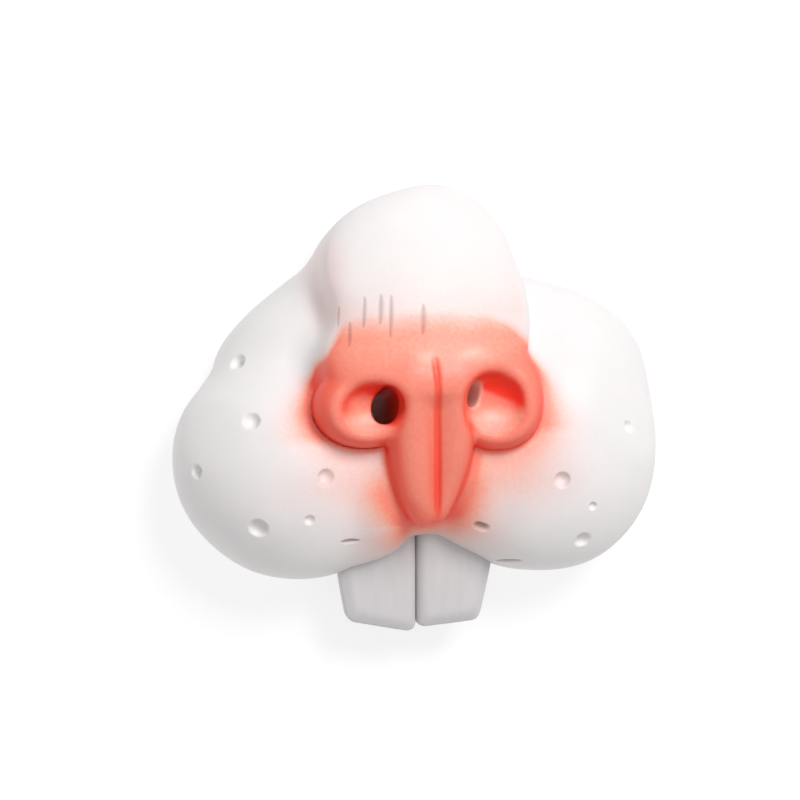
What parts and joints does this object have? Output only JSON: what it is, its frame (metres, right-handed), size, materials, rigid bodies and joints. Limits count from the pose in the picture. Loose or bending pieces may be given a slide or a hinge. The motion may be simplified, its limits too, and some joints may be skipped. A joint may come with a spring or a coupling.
{
  "type": "costume rabbit nose",
  "caption": "Hollow latex rabbit muzzle worn over the nose, with rounded whisker-pitted cheeks, a painted coral nose with open nostrils, and incisors below the lip.",
  "frame": {"origin": "middle of the footprint, on the surface that the open back lies on", "axes": "+X to the viewer's right across the cheeks, +Y up the face towards the brow, +Z out of the face"},
  "size_m": [0.1182, 0.1066, 0.0483],
  "materials": {
    "latex": "satin white latex, airbrushed coral on the nose",
    "tooth": "satin grey-white"
  },
  "bodies": {
    "root": {"muzzle": "latex", "tooth_left": "tooth", "tooth_right": "tooth"}
  },
  "joints": []
}
